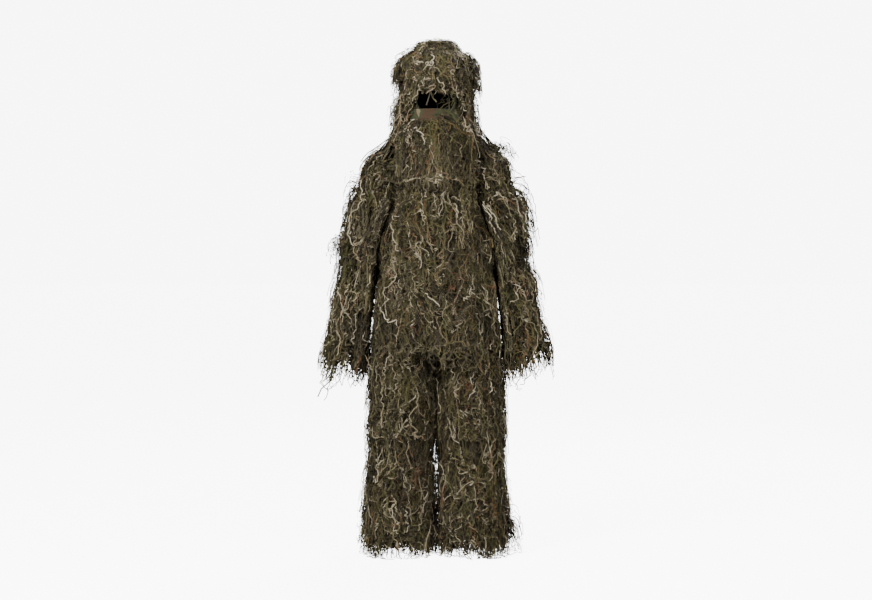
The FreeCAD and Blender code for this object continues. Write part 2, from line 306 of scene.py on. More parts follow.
def map_range(tree, value, **limits):
    """A value moved to other limits, such as from_min or to_max."""
    inputs = {key.replace("_", " ").title(): limit for key, limit in limits.items()}
    node = add(tree, "ShaderNodeMapRange", inputs)
    tree.links.new(value, node.inputs["Value"])
    return node.outputs["Result"]


def bump(tree, shader, height, strength, distance):
    node = add(tree, "ShaderNodeBump", {"Strength": strength, "Distance": distance})
    tree.links.new(height, node.inputs["Height"])
    tree.links.new(node.outputs["Normal"], shader.inputs["Normal"])


# Colours of the yarn's dye lots, along a ramp from 0 to 1. The near-black stops at the
# low end are partly painted shade: they stand in for the deep shade between the tufts.
YARN_DYES_AND_SHADE = (
    (0.00, (0.012, 0.008, 0.003)),
    (0.14, (0.026, 0.020, 0.006)),
    (0.32, (0.050, 0.050, 0.013)),
    (0.48, (0.098, 0.086, 0.028)),
    (0.58, (0.120, 0.074, 0.028)),
    (0.66, (0.140, 0.058, 0.026)),
    (0.76, (0.260, 0.215, 0.130)),
    (0.88, (0.390, 0.330, 0.220)),
    (1.00, (0.560, 0.490, 0.360)),
)


SPECKLE = 0.16               # how far flecks shift a yarn's colour along the ramp


def yarn_material():
    """Twisted yarn: its lot's colour from the yarn itself, partly painted shade in the darkest lots; paler frayed
    ends, a twist in the bump.
    """
    material, tree, shader = new_material("yarn", {
        "Roughness": 0.72, "Sheen Weight": 0.06, "Specular IOR Level": 0.25})
    link = tree.links.new
    # Each yarn's place on the ramp: its lot, and in the darkest places partly painted shade.
    dye_and_shade = add(tree, "ShaderNodeAttribute", attribute_name="dye_and_shade").outputs["Fac"]
    along = add(tree, "ShaderNodeAttribute", attribute_name="along").outputs["Fac"]
    place = position(tree)
    flecks = texture(tree, "ShaderNodeTexNoise", place, {"Scale": 90.0, "Detail": 3.0})
    shift = add(tree, "ShaderNodeMath", {1: SPECKLE}, operation="MULTIPLY_ADD")
    link(flecks, shift.inputs[0])
    link(dye_and_shade, shift.inputs[2])
    centred = add(tree, "ShaderNodeMath", {1: SPECKLE / 2}, operation="SUBTRACT")
    link(shift.outputs[0], centred.inputs[0])
    faded = add(tree, "ShaderNodeMix", {"B": (0.26, 0.22, 0.14, 1.0)}, data_type="RGBA")
    link(map_range(tree, along, from_min=0.55, to_max=0.22), faded.inputs["Factor"])
    link(ramp(tree, centred.outputs[0], YARN_DYES_AND_SHADE), faded.inputs["A"])
    link(faded.outputs["Result"], shader.inputs["Base Color"])
    twist = texture(tree, "ShaderNodeTexWave", place, {"Scale": 260.0, "Distortion": 3.0},
                    wave_type="BANDS", bands_direction="DIAGONAL")
    bump(tree, shader, twist, 0.35, 0.0006)
    return material


# The print's colours, darkened in part as painted shade: the hood's brim shades the veil.
CAMO_GREEN = (0.034, 0.038, 0.017)
CAMO_BROWN = (0.048, 0.028, 0.014)
CAMO_TAN = (0.150, 0.115, 0.066)
CAMO_BLACK = (0.010, 0.010, 0.008)


def camo_material():
    """Printed woodland blotches on a ripstop weave, the print's colours darkened in part as painted shade."""
    material, tree, shader = new_material("camo_cloth", {
        "Roughness": 0.88, "Sheen Weight": 0.04, "Specular IOR Level": 0.25})
    link = tree.links.new
    place = position(tree)

    def blotches(scale, seed, low, high):
        moved = add(tree, "ShaderNodeMapping", {"Location": (seed, seed * 1.7, seed * 0.6)})
        link(place, moved.inputs["Vector"])
        noise = texture(tree, "ShaderNodeTexNoise", moved.outputs["Vector"],
                        {"Scale": scale, "Detail": 2.5, "Distortion": 1.1})
        return map_range(tree, noise, from_min=low, from_max=high)

    def over(below, colour, factor):
        mix = add(tree, "ShaderNodeMix", {"B": (*colour, 1.0)}, data_type="RGBA")
        link(below, mix.inputs["A"])
        link(factor, mix.inputs["Factor"])
        return mix.outputs["Result"]

    ground = add(tree, "ShaderNodeRGB")
    ground.outputs[0].default_value = (*CAMO_GREEN, 1.0)
    colour = over(ground.outputs[0], CAMO_BROWN, blotches(13.0, 3.1, 0.50, 0.52))
    colour = over(colour, CAMO_TAN, blotches(12.0, 11.7, 0.565, 0.585))
    colour = over(colour, CAMO_BLACK, blotches(16.0, 23.9, 0.60, 0.615))
    wear = texture(tree, "ShaderNodeTexNoise", place, {"Scale": 5.0, "Detail": 6.0})
    worn = add(tree, "ShaderNodeHueSaturation")
    link(map_range(tree, wear, to_min=0.7, to_max=1.4), worn.inputs["Value"])
    link(colour, worn.inputs["Color"])
    link(worn.outputs["Color"], shader.inputs["Base Color"])
    weave = add(tree, "ShaderNodeMath", operation="MAXIMUM")
    for number, direction in enumerate("XZ"):
        thread = texture(tree, "ShaderNodeTexWave", place, {"Scale": 230.0, "Distortion": 0.4},
                         wave_type="BANDS", bands_direction=direction)
        link(thread, weave.inputs[number])
    bump(tree, shader, weave.outputs[0], 0.3, 0.0005)
    return material


def tape_material():
    """Ribbed dark green tape and elastic."""
    material, tree, shader = new_material("tape", {"Roughness": 0.8})
    ribs = texture(tree, "ShaderNodeTexWave", position(tree), {"Scale": 130.0},
                   wave_type="BANDS", bands_direction="Z")
    colour = ramp(tree, ribs, ((0.0, (0.018, 0.022, 0.012)), (1.0, (0.052, 0.060, 0.032))))
    tree.links.new(colour, shader.inputs["Base Color"])
    bump(tree, shader, ribs, 0.4, 0.0006)
    return material


def snap_material():
    """Dark green enamel, worn to brass in flecks."""
    material, tree, shader = new_material("snap_enamel", {"Roughness": 0.42})
    flecks = texture(tree, "ShaderNodeTexNoise", position(tree), {"Scale": 420.0, "Detail": 4.0})
    enamel_end, brass_start = 0.60, 0.68
    colour = ramp(tree, flecks, ((enamel_end, (0.030, 0.036, 0.022)), (brass_start, (0.34, 0.25, 0.11))))
    tree.links.new(colour, shader.inputs["Base Color"])
    bare = ramp(tree, flecks, ((enamel_end, (0.0, 0.0, 0.0)), (brass_start, (1.0, 1.0, 1.0))))
    tree.links.new(bare, shader.inputs["Metallic"])
    return material


yarn = yarn_material()
camo = camo_material()
tape = tape_material()
enamel = snap_material()

# ---------------------------------------------------------------- yarn

random = np.random.default_rng(20261)
CLOSE = 0.002                # the least height of a yarn over a form
CLEAR = 0.004                # the least height of a tuft's spine over one
DRAPE = 0.012                # how far beyond its height a spine may stand
STRAY = 0.006                # how far single yarns stand above their tuft
GAP, STRETCH = 0.012, 2.5    # a longer step than these allow means yarn stretched over a gap
BENDS = 4.5                  # how often a tuft's heading halves its way to straight down
CREST = 0.72                 # share of a tuft's length where it stands at its full height


def nearest(points, forms):
    """Distance to the nearest form, the way out of it, and how far that form holds yarn
    close: 1 beside or over it, down to 0 under an open end."""
    best = np.full(len(points), np.inf)
    way = np.zeros_like(points)
    hold = np.ones(len(points))
    for form in forms:
        d, n = form.distance(points)
        nearer = d < best
        best = np.where(nearer, d, best)
        way = np.where(nearer[:, None], n, way)
        own = np.clip(1 + n[:, 2], 0, 1) if form.open_end else 1.0
        hold = np.where(nearer, own, hold)
    return best, way, hold


def push_out(points, forms, clearance, reach=None):
    """Moves points out of the forms, so that each keeps its clearance, and draws in those
    that stand further than reach beyond it."""
    for _ in range(2):
        best, way, hold = nearest(points, forms)
        move = np.maximum(clearance - best, 0)
        if reach is not None:
            move = move - np.maximum(best - clearance - reach, 0) * 0.6 * hold
        points = points + way * move[:, None]
    return points


def settle(lines, forms, clearance, rise, most):
    """Lowers each line over the forms to its own share, rise, of its height above them, and
    to at most its own height, most."""
    shape = lines.shape
    points = lines.reshape(-1, 3)
    best, way, hold = nearest(points, forms)
    height = np.maximum(best - clearance, 0)
    top = np.repeat(most, shape[1])
    lowered = top * np.tanh(height * np.repeat(rise, shape[1]) / top)
    points = points - way * ((height - lowered) * hold)[:, None]
    return push_out(points, forms, clearance).reshape(shape)


def keep_in_box(points):
    low = np.array(cad_box[0]) - PROUD
    high = np.array(cad_box[1]) + PROUD
    low[2] = FLOOR + 0.001
    return np.clip(points, low, high)


def march(roots, heading, length, forms, loft, wander_size, steps):
    """Tufts' spines, as an array (tuft, point, xyz). Each leaves along its heading, turns
    down under its weight and slides over the forms, about loft away at its tip."""
    count = len(roots)
    step = (length / steps)[:, None]
    heading = heading / np.linalg.norm(heading, axis=1, keepdims=True)
    lines = np.empty((count, steps + 1, 3))
    lines[:, 0] = roots
    p = roots
    wander = random.normal(size=(count, 3))
    turn = 1 - 0.5 ** (BENDS / steps)
    for k in range(1, steps + 1):
        share = k / steps
        wander = 0.7 * wander + 0.7 * random.normal(size=(count, 3))
        heading = heading * (1 - turn) + DOWN * turn + wander * wander_size
        heading /= np.linalg.norm(heading, axis=1, keepdims=True)
        p = p + heading * step
        clearance = CLEAR + loft * math.sin(math.pi * min(share, CREST) / (2 * CREST))
        p = keep_in_box(push_out(p, forms, clearance, DRAPE))
        lines[:, k] = p
    return lines


def strands(spines, of, own_length, reach, steps, spread, wander):
    """Lines of yarn that follow their tufts' spines loosely and drift apart."""
    count = len(of)
    last = spines.shape[1] - 2
    s = np.linspace(0, last + 1, steps + 1)[None, :] * reach[:, None]
    i = np.minimum(s.astype(int), last)
    a, b = spines[of[:, None], i], spines[of[:, None], i + 1]
    lines = a + (b - a) * (s - i)[..., None]
    share = np.linspace(0, 1, steps + 1)[None, :, None]
    offset = random.normal(0, spread, (count, 1, 3))
    drift = random.normal(size=(count, steps + 1, 3))
    for k in range(1, steps + 1):
        drift[:, k] = 0.72 * drift[:, k - 1] + 0.7 * drift[:, k]
    drift[:, 0] = 0
    drift = np.cumsum(drift, 1)
    drift = (drift - 0.7 * share * drift[:, -1:]) * (wander * own_length * reach / steps)[:, None, None]
    return lines + offset * (1 + 0.5 * share) + drift


def curl(lines, length, size, pitch):
    """Winds each line into a loose, uneven corkscrew that grows away from its root."""
    count, points, _ = lines.shape
    share = np.linspace(0, 1, points)[None, :]
    turns = length / pitch
    phase = random.uniform(0, 2 * math.pi, (count, 1)) + 2 * math.pi * turns[:, None] * (
        share + 0.12 * np.sin(2 * math.pi * (share * 1.7 + random.random((count, 1)))))
    swell = 0.65 + 0.35 * np.sin(2 * math.pi * (share * 1.3 + random.random((count, 1))))
    grow = np.minimum(share * 5, 1) * swell * size[:, None]
    facing = random.uniform(0, 2 * math.pi, (count, 1))
    u = np.stack((np.cos(facing), np.sin(facing), 0 * facing), -1)
    v = np.stack((-np.sin(facing), np.cos(facing), 0.5 + 0 * facing), -1)
    return lines + (np.cos(phase) * grow)[..., None] * u + (np.sin(phase) * grow)[..., None] * v


def tangents(lines):
    way = np.empty_like(lines)
    way[:, 1:-1] = lines[:, 2:] - lines[:, :-2]
    way[:, 0] = lines[:, 1] - lines[:, 0]
    way[:, -1] = lines[:, -1] - lines[:, -2]
    return way / (np.linalg.norm(way, axis=2, keepdims=True) + 1e-12)


def ribbons(lines, radius, facing):
    """Vertices and quads of flat, matted yarn along lines, its broad side facing out."""
    count, points, _ = lines.shape
    side = np.cross(tangents(lines), facing[:, None, :])
    side = side / (np.linalg.norm(side, axis=2, keepdims=True) + 1e-12) * radius[:, None, None]
    vertices = np.stack((lines - side, lines + side), 2).reshape(-1, 3)
    row = np.arange(points - 1)[:, None] * 2 + np.array([[0, 1, 3, 2]])
    quads = row[None] + (np.arange(count) * points * 2)[:, None, None]
    return vertices, quads.reshape(-1, 4)


def mesh_from(name, vertices, quads, attributes, material):
    mesh = bpy.data.meshes.new(name)
    mesh.vertices.add(len(vertices))
    mesh.vertices.foreach_set("co", vertices.astype(np.float32).ravel())
    mesh.loops.add(quads.size)
    mesh.loops.foreach_set("vertex_index", quads.astype(np.int32).ravel())
    mesh.polygons.add(len(quads))
    mesh.polygons.foreach_set("loop_start", np.arange(0, quads.size, 4, dtype=np.int32))
    for key, values in attributes.items():
        attribute = mesh.attributes.new(key, "FLOAT", "POINT")
        attribute.data.foreach_set("value", values.astype(np.float32))
    mesh.update(calc_edges=True)
    mesh.validate()
    mesh.materials.append(material)
    mesh.shade_smooth()
    piece = bpy.data.objects.new(name, mesh)
    bpy.context.scene.collection.objects.link(piece)
    return piece


def yarn_piece(name, sets):
    """One mesh of several sets of yarn, each (lines, lot colour and painted shade, radius, facing)."""
    vertices, quads, dye_and_shade, along = [], [], [], []
    base = 0
    for lines, own_dye_and_shade, radius, facing in sets:
        lines = keep_in_box(lines.reshape(-1, 3)).reshape(lines.shape)
        own_vertices, own_quads = ribbons(lines, radius, facing)
        shape = (*lines.shape[:2], 2)
        vertices.append(own_vertices)
        quads.append(own_quads + base)
        dye_and_shade.append(np.broadcast_to(own_dye_and_shade[:, None, None], shape).ravel())
        along.append(np.broadcast_to(np.linspace(0, 1, shape[1])[None, :, None], shape).ravel())
        base += len(own_vertices)
    # Each yarn's place on the ramp, partly painted shade in its darkest places.
    attributes = {"dye_and_shade": np.concatenate(dye_and_shade), "along": np.concatenate(along)}
    piece = mesh_from(name, np.concatenate(vertices), np.concatenate(quads), attributes, yarn)
    return piece


# Where each dye lot lies on the dye ramp, and how common it is in the matted yarn beneath, in
# the waves over it and in the loops on top. The darkest lots, most common beneath, are partly
# painted shade deep in the fringe.
DYE_LOTS_AND_SHADE = ((0.04, 0.40, 0.28, 0.12), (0.16, 0.28, 0.24, 0.14), (0.30, 0.20, 0.20, 0.13),
        (0.44, 0.08, 0.13, 0.13), (0.56, 0.03, 0.05, 0.05), (0.65, 0.01, 0.02, 0.03),
        (0.76, 0.00, 0.03, 0.17), (0.88, 0.00, 0.02, 0.14), (0.97, 0.00, 0.01, 0.06))


FOLLOWING = 0.5              # share of the yarns that take their tuft's lot
PALE = 0.7                   # dye lots past this place never colour a whole tuft


def dyes_and_shade(of, tufts, lot):
    """Each yarn's place on the ramp of lot colours; many take the lot of their tuft. The darkest places, mostly in
    the matted yarn beneath, are partly painted shade.
    """
    places = np.array([row[0] for row in DYE_LOTS_AND_SHADE])
    shares = np.array([row[lot] for row in DYE_LOTS_AND_SHADE])
    shares = shares / shares.sum()
    of_tuft = random.choice(places, tufts, p=shares)
    own = random.choice(places, len(of), p=shares)
    follows = (random.random(len(of)) < FOLLOWING) & (of_tuft[of] < PALE)
    chosen = np.where(follows, of_tuft[of], own)
    return np.clip(chosen + random.normal(0, 0.03, len(of)), 0, 1)


def around_one(count, spread, low, high):
    return np.clip(random.normal(1.0, spread, count), low, high)


SPINE_STEPS = 10
# (yarns in a tuft, steps, reach, spread, wander, curl, which share of the dye lots and their
# painted shade, rise, radius); each of the last two is the least and the most
MATTED = (9, 8, 0.90, 0.0120, 0.40, 0.0020, 1, (0.1, 0.9), (0.0016, 0.0026))
WAVES = (9, 18, 0.95, 0.0150, 0.55, 0.0075, 2, (0.3, 0.9), (0.0012, 0.0017))
CURLS = (6, 25, 0.95, 0.0180, 0.65, 0.0115, 2, (0.5, 1.0), (0.0012, 0.0018))
LOOPS = (11, 26, 0.85, 0.0210, 0.75, 0.0140, 3, (0.85, 1.25), (0.0010, 0.0015))


def tuft_sets(roots, outs, forms, length, loft, lift, wildness=1.0, fence=None, bold=0.0,
              kept=None):
    """The yarns of tufts that grow from these roots: matted ones beneath and curls on top.

    Those stretched over a gap are left out. fence moves yarns, kept says which of them stay,
    and bold, from 0 to 1, is how far the tufts stand out as one.
    """
    tufts = len(roots)
    heading = outs * lift[:, None] + DOWN * (1 - lift[:, None]) + random.normal(0, 0.55, (tufts, 3))
    own_length = length * around_one(tufts, 0.2, 0.55, 1.45)
    own_loft = loft * random.uniform(0.45, 1.2, tufts)
    spines = march(roots, heading, own_length, forms, own_loft, 0.16 * wildness, SPINE_STEPS)
    sets = []
    for number, steps, reach, spread, wander, curls, lot, rise, radius in (
            MATTED, WAVES, CURLS, LOOPS):
        of = np.repeat(np.arange(tufts), number)
        count = len(of)
        own_reach = reach * around_one(count, 0.16, 0.4, 1.3)
        lines = strands(spines, of, own_length[of], own_reach, steps, spread, wander)
        size = curls * wildness * random.uniform(0.35, 1.35, count)
        lines = curl(lines, own_length[of] * own_reach, size, random.uniform(0.024, 0.050, count))
        own_rise = random.uniform(*rise, count)
        own_rise = own_rise + (1.1 - own_rise) * bold
        most = own_loft[of] + CLEAR + STRAY * random.random(count) ** 2
        lines = settle(lines, forms, CLOSE, own_rise, most)
        if fence:
            lines = fence(lines)
        step = np.linalg.norm(np.diff(lines, axis=1), axis=2).max(1)
        stays = step < GAP + STRETCH * own_length[of] * own_reach / steps
        if kept:
            stays &= kept(lines)
        lines, of = lines[stays], of[stays]
        count = len(of)
        facing = outs[of] + random.normal(0, 0.45, (count, 3))
        # Darker lots for the matted yarn beneath are partly painted shade.
        sets.append((lines, dyes_and_shade(of, tufts, lot), random.uniform(*radius, count), facing))
    return sets


def yarn_row(name, form, lines_at, forms, length, loft, arcs=((0, 2 * math.pi),), pitch=0.027,
             lift=0.45, wildness=1.0, bare=(), thin_sides=(), fence=None, bold=0.0, kept=None):
    """A fringe: tufts of yarn sewn on lines round a form, over the given arcs.

    length is that of the first and of the last line's yarn.
    bare are places left thin, each (angle, along, half angle, half along).
    thin_sides are (angle, share): a side that faces another garment, and the loft left there.
    """
    roots, outs, angles, lengths = [], [], [], []
    for along, own_length in zip(lines_at, np.linspace(*length, len(lines_at))):
        girth = form.girth(along)
        for a0, a1 in arcs:
            number = max(2, round(girth * (a1 - a0) / (2 * math.pi) / pitch))
            angle = a0 + (a1 - a0) * (np.arange(number) + random.random(number)) / number
            rows = along + random.normal(0, 0.010, number)
            for b_angle, b_along, b_wide, b_long in bare:
                near = np.abs(np.angle(np.exp(1j * (angle - b_angle)))) < b_wide
                keep = ~(near & (np.abs(rows - b_along) < b_long))
                angle, rows = angle[keep], rows[keep]
            roots.append(form.point(rows, angle, 0.001))
            outs.append(form.outward(rows, angle))
            angles.append(angle)
            lengths.append(np.full(len(angle), own_length))
    angles = np.concatenate(angles)
    own_loft = np.full(len(angles), loft)
    own_lift = np.full(len(angles), lift)
    for side_angle, left in thin_sides:
        facing = np.clip(np.cos(angles - side_angle) * 2.2, 0, 1)
        own_loft = own_loft * (1 - facing * (1 - left))
        own_lift = own_lift * (1 - facing * 0.8)
    sets = tuft_sets(np.concatenate(roots), np.concatenate(outs), forms, np.concatenate(lengths),
                     own_loft, own_lift, wildness, fence, bold, kept)
    return yarn_piece(name, sets)


def dome_yarn(name, centre, reach, tufts, forms, length, loft, keep, lift=0.4, wildness=1.1,
              bold=0.0, kept=None):
    """Tufts all over a rounded form, where keep says yes to the way out from its centre."""
    out = random.normal(size=(tufts * 6, 3))
    out /= np.linalg.norm(out, axis=1, keepdims=True)
    out = out[keep(out)][:tufts]
    roots = centre + out * reach
    for _ in range(8):
        roots = push_out(roots, forms[:1], 0.001, 0.0)
    sets = tuft_sets(roots, out, forms, length, np.full(len(out), loft), np.full(len(out), lift),
                     wildness, bold=bold, kept=kept)
    return yarn_piece(name, sets)


FRONT = -math.pi / 2
PLACKET_HALF = 0.20


def span_along(node, form):
    """First and last distance along an upright form's axis that a node covers."""
    low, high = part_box(node)
    return form.start[2] - high.z, form.start[2] - low.z


# Where the arms' yarn and the torso's part, as (z, x) on the suit's left. Above the last one
# nothing parts them.
FENCE = ((-0.70, 0.228), (-0.585, 0.217), (-0.50, 0.210), (-0.355, 0.198), (-0.27, 0.168),
         (-0.20, 0.142), (-0.14, 0.142))
# The sight line and the veil's bare top: middle x, half width, lowest and highest z.
BARE_FACE = (0.006, 0.070, 0.074, 0.152)
CROSSING = 0.12              # share of the yarns that may cross it


def fence_side(way):
    """Keeps the torso's yarn off the arms' (way 1), or an arm's off the torso's (way -1)."""
    heights, sides = zip(*FENCE)

    def keep_off(lines):
        x, z = lines[..., 0], lines[..., 2]
        past = way * (np.abs(x) - np.interp(z, heights, sides))
        past = past + random.uniform(0.0, 0.012, (len(lines), 1))
        lines[..., 0] -= way * np.sign(x) * np.maximum(past, 0) * 1.5 * (z < FENCE[-1][0])
        return lines

    return keep_off


def off_face(lines):
    """Which yarns stay clear of the sight line and of the veil's bare top. A few cross them."""
    x, y, z = lines[..., 0], lines[..., 1], lines[..., 2]
    middle, half, low, high = BARE_FACE
    within = (np.abs(x - middle) < half) & (y < 0) & (z > low) & (z < high)
    return ~within.any(1) | (random.random(len(lines)) < CROSSING)


def build_torso():
    forms = [torso] + shoulders
    left = (FRONT + PLACKET_HALF, math.pi / 2)
    right = (math.pi / 2, FRONT + 2 * math.pi - PLACKET_HALF)
    rows = (
        ("jacket_yoke_fringe", 3, 0.140, 0.030),
        ("jacket_chest_fringe", 3, 0.150, 0.050),
        ("jacket_midriff_fringe", 3, 0.150, 0.054),
        ("jacket_waist_fringe", 3, 0.150, 0.052),
    )
    for node, count, length, loft in rows:
        top, bottom = span_along(node, torso)
        lines_at = np.linspace(top, top + 0.55 * (bottom - top), count)
        piece = yarn_row(f"{node}_yarn", torso, lines_at, forms, (length, length), loft, (left, right),
                         fence=fence_side(1))
        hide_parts(node)
        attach(piece, "jacket")
    node = "jacket_hem_fringe"
    top, _ = span_along(node, torso)
    skirt_arcs = {
        "back": (0.0, math.pi),
        "left": (FRONT + 0.05, 0.0),
        "right": (math.pi, FRONT + 2 * math.pi - 0.05),
    }
    for part, arc in skirt_arcs.items():
        piece = yarn_row(f"{node}_{part}_yarn", torso, np.linspace(top, torso.last - 0.012, 3), forms,
                         (0.165, 0.165), 0.040, (arc,), fence=fence_side(1))
        if part == "back":
            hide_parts(node)
        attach(piece, "jacket")
        if part != "back":
            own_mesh(piece)


# A thin place in the left elbow's yarn: angle, along, half angle, half along.
BARE_ELBOW = (-0.5, 0.22, 0.45, 0.06)


def build_arm(side):
    forms = limbs[side]
    upper, fore, ball = forms["upper_arm"], forms["forearm"], forms["shoulder"]
    all_forms = [ball, upper, fore, torso]
    inner = math.pi if side == "left" else 0.0
    arcs = ((inner + 0.55, inner + 2 * math.pi - 0.55),)
    away = upper.side * (1 if side == "left" else -1)

    cap = dome_yarn(f"{side}_shoulder_fringe_yarn", ball.centre, 0.1, 46, all_forms, 0.150, 0.018,
                    lambda way: (way @ away > -0.3) & (way[:, 2] > -0.75))
    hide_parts(f"{side}_shoulder_fringe")
    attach(cap, f"{side}_upper_arm")
    if side == "left":
        tuft = dome_yarn("left_shoulder_tuft_yarn", ball.centre, 0.1, 9, all_forms, 0.100, 0.080,
                         lambda way: (way @ away > 0.35) & (way[:, 2] > 0.55), lift=1.5, bold=1.0)
        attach(tuft, "left_upper_arm")

    def row(node, form, first, last, count, length, loft, bare=()):
        piece = yarn_row(f"{node}_yarn", form, np.linspace(first, last, count), all_forms, length, loft,
                         arcs, pitch=0.022, bare=bare, thin_sides=((inner, 0.2),), fence=fence_side(-1))
        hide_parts(node)
        return piece

    def bend(piece):
        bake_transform(piece)

    bend(row(f"{side}_upper_arm_fringe", upper, 0.070, 0.130, 3, (0.14, 0.14),
             0.064 if side == "right" else 0.078))
    bend(row(f"{side}_elbow_fringe", upper, 0.190, 0.262, 3, (0.14, 0.14), 0.054,
             (BARE_ELBOW,) if side == "left" else ()))
    if side == "right":
        bend(yarn_row("right_elbow_tuft_yarn", upper, [0.25], all_forms, (0.080, 0.080), 0.085,
                      ((math.pi - 0.35, math.pi + 0.35),), lift=1.1, bold=1.0))
    piece = row(f"{side}_forearm_fringe", fore, 0.055, 0.115, 3, (0.14, 0.14), 0.054)
    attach(piece, f"{side}_forearm")
    piece = row(f"{side}_cuff_fringe", fore, 0.165, 0.275, 4, (0.16, 0.145), 0.054)
    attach(piece, f"{side}_forearm")


def build_leg(side):
    forms = limbs[side]
    thigh, shin = forms["thigh"], forms["shin"]
    own = [thigh, shin]
    inner = math.pi if side == "left" else 0.0

    def row(node, form, first, last, count, length, loft):
        piece = yarn_row(f"{node}_yarn", form, np.linspace(first, last, count), own, length, loft,
                         thin_sides=((inner, 0.8),))
        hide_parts(node)
        return piece

    piece = row(f"{side}_hip_fringe", thigh, 0.03, 0.165, 4, (0.15, 0.15), 0.056)
    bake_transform(piece)
    for name, form, first, last, count, loft in (("thigh", thigh, 0.200, 0.250, 2, 0.046),
                                                 ("knee", thigh, 0.290, 0.360, 3, 0.046),
                                                 ("shin", shin, 0.060, 0.170, 4, 0.048)):
        piece = row(f"{side}_{name}_fringe", form, first, last, count, (0.15, 0.15), loft)
        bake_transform(piece)
    piece = row(f"{side}_ankle_fringe", shin, 0.215, 0.340, 4, (0.14, 0.070), 0.050)
    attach(piece, f"{side}_shin")
    if side == "left":
        tuft = yarn_row("left_ankle_tuft_yarn", shin, [0.31, 0.33], own, (0.100, 0.100), 0.090,
                        ((-0.35, 0.15),), lift=1.5, bold=1.0)
        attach(tuft, "left_shin")


def build_seat():
    seat = upright(["trouser_seat"], 0.05, 10, last=0.19)
    piece = yarn_row("trouser_seat_fringe_yarn", seat, np.linspace(0.06, 0.19, 3), [seat], (0.12, 0.12),
                     0.006, pitch=0.05)
    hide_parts("trouser_seat_fringe")
    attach(piece, "trousers")


def build_hood():
    forms = [hood, cape, torso] + shoulders
    face_half, brow_half = 0.70, 0.90
    around_face = ((FRONT + face_half, FRONT + 2 * math.pi - face_half),)
    brow = ((FRONT - brow_half, FRONT + brow_half),)
    round_back = ((FRONT + brow_half, FRONT + 2 * math.pi - brow_half),)
    centre = hood.start + DOWN * 0.09
    piece = dome_yarn("hood_crown_fringe_yarn", centre, 0.2, 110, [hood], 0.085, 0.030,
                      lambda way: way[:, 2] > 0.2 + 0.35 * (way[:, 1] < -0.3), lift=1.0, wildness=1.3,
                      kept=off_face)
    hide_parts("hood_crown_fringe")
    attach(piece, "hood")
    piece = yarn_row("hood_brim_fringe_yarn", hood, np.linspace(0.045, 0.075, 3), [hood], (0.075, 0.06),
                     0.054, round_back, lift=1.2, wildness=1.2, pitch=0.022, bold=0.8)
    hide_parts("hood_brim_fringe")
    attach(piece, "hood")
    piece = yarn_row("hood_brow_fringe_yarn", hood, np.linspace(0.045, 0.075, 3), [hood], (0.13, 0.10),
                     0.030, brow, lift=0.7, wildness=1.2, pitch=0.026, kept=off_face)
    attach(piece, "hood")
    piece = yarn_row("hood_side_fringe_yarn", hood, np.linspace(0.085, 0.15, 3), forms, (0.14, 0.15), 0.020,
                     around_face, wildness=1.35, kept=off_face)
    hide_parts("hood_side_fringe")
    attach(piece, "hood")
    piece = yarn_row("hood_neck_fringe_yarn", hood, np.linspace(0.18, 0.25, 3), forms, (0.16, 0.17), 0.046,
                     around_face, wildness=1.35, kept=off_face)
    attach(piece, "hood")
    piece = yarn_row("cape_fringe_yarn", cape, np.linspace(0.008, 0.056, 4), [cape, torso] + shoulders,
                     (0.12, 0.18), 0.028, wildness=1.3)
    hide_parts("cape_fringe")
    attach(piece, "cape")


def build_veil():
    veil = upright(["face_veil"], 0.14, 6, open_end=True)
    front = ((FRONT - 0.62, FRONT + 0.62),)
    piece = yarn_row("veil_fringe_yarn", veil, np.linspace(0.056, 0.100, 4), [veil, torso],
                     (0.13, 0.19), 0.026, front, pitch=0.022, lift=0.3, kept=off_face)
    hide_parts("veil_fringe")
    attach(piece, "veil")
    return piece


build_torso()
for side in limbs:
    build_arm(side)
    build_leg(side)
build_seat()
build_hood()
veil_yarn = build_veil()

# ---------------------------------------------------------------- cloth

CLOTH_THICKNESS = 0.0014


def fold_depth(along, angle, girth, seed):
    """How far the cloth falls in at each point: slanting folds that cross and fade."""
    waves = np.random.default_rng(seed)
    depth = np.zeros(along.shape)
    for _ in range(7):
        pitch = waves.uniform(0.05, 0.13)
        turns = max(1, round(girth * math.cos(waves.uniform(0.0, 1.3)) / pitch))
        slope = waves.choice((-1, 1)) * waves.uniform(0.4, 1.0) / pitch
        phase = turns * angle + 2 * math.pi * slope * along + waves.uniform(0, 6.3)
        fade = 0.5 + 0.5 * np.sin(angle + 2 * math.pi * along / 0.3 + waves.uniform(0, 6.3))
        depth += np.abs(np.sin(phase / 2)) ** 3 * fade
    return depth / 3.0


def cloth_sheet(name, points, keep, thickness=CLOTH_THICKNESS):
    """A sheet of cloth over a grid of points (row, column, xyz), with the faces that keep,
    asked of their centres, says yes to. The thickness goes inwards."""
    rows, columns, _ = points.shape
    mesh = bpy.data.meshes.new(name)
    i = (np.arange(rows - 1)[:, None] * columns + np.arange(columns - 1)[None, :]).ravel()
    quads = np.stack((i, i + columns, i + columns + 1, i + 1), 1)
    flat = points.reshape(-1, 3)
    quads = quads[keep(flat[quads].mean(1))]
    mesh.from_pydata(flat.tolist(), [], quads.tolist())
    work = bmesh.new()
    work.from_mesh(mesh)
    bmesh.ops.remove_doubles(work, verts=work.verts, dist=0.0002)
    loose = [v for v in work.verts if not v.link_faces]
    bmesh.ops.delete(work, geom=loose, context="VERTS")
    work.to_mesh(mesh)
    work.free()
    sheet = bpy.data.objects.new(name, mesh)
    bpy.context.scene.collection.objects.link(sheet)
    solidify = sheet.modifiers.new("thickness", "SOLIDIFY")
    solidify.thickness = thickness
    solidify.offset = -1.0
    view = bpy.context.evaluated_depsgraph_get()
    sheet.data = bpy.data.meshes.new_from_object(sheet.evaluated_get(view))
    sheet.modifiers.clear()
    sheet.data.materials.clear()
    sheet.data.materials.append(camo)
    sheet.data.shade_smooth()
    return sheet


def everywhere(centres):
    return np.full(len(centres), True)


